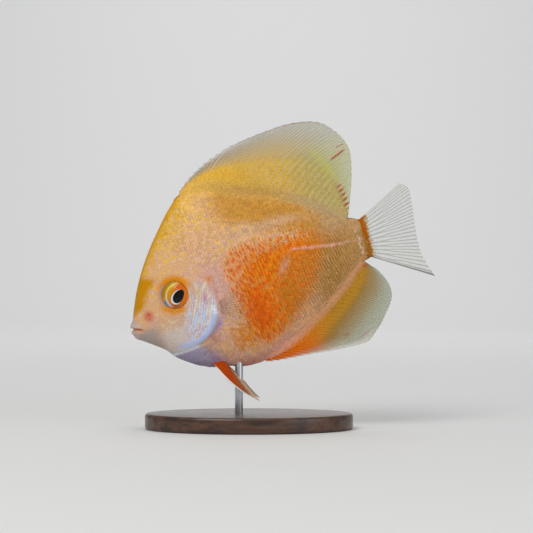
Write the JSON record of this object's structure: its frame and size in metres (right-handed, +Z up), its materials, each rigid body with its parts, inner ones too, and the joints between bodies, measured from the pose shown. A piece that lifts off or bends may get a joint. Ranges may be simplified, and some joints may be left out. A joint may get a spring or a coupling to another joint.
{
  "type": "discus fish display model",
  "caption": "Life-size still model of a yellow and orange discus fish, tall and thin with raised fins, held nose-down over an oval base by one short rod.",
  "frame": {"origin": "middle of the underside of the object's bounding box, on the floor", "axes": "+Z up, -X towards the fish's head, -Y the side that the fish's left flank faces"},
  "size_m": [0.1532, 0.064, 0.1541],
  "materials": {
    "skin": "moist scaled skin, golden yellow to orange",
    "eye": "clear wet cornea over an orange iris",
    "fin": "thin rayed membrane, gold to olive",
    "clear_fin": "nearly clear rayed membrane",
    "base_wood": "dark satin walnut",
    "rod_steel": "brushed steel"
  },
  "bodies": {
    "root": {"head": "skin", "body": "skin", "tail_stalk": "skin", "gill_cover_left": "skin", "gill_cover_right": "skin", "eye_left": "eye", "eye_right": "eye", "dorsal_fin": "fin", "anal_fin": "fin", "tail_fin": "clear_fin", "pectoral_fin_left": "clear_fin", "pectoral_fin_right": "clear_fin", "pelvic_fin_left": "fin", "pelvic_fin_right": "fin", "stand_base": "base_wood", "stand_rod": "rod_steel"}
  },
  "joints": []
}
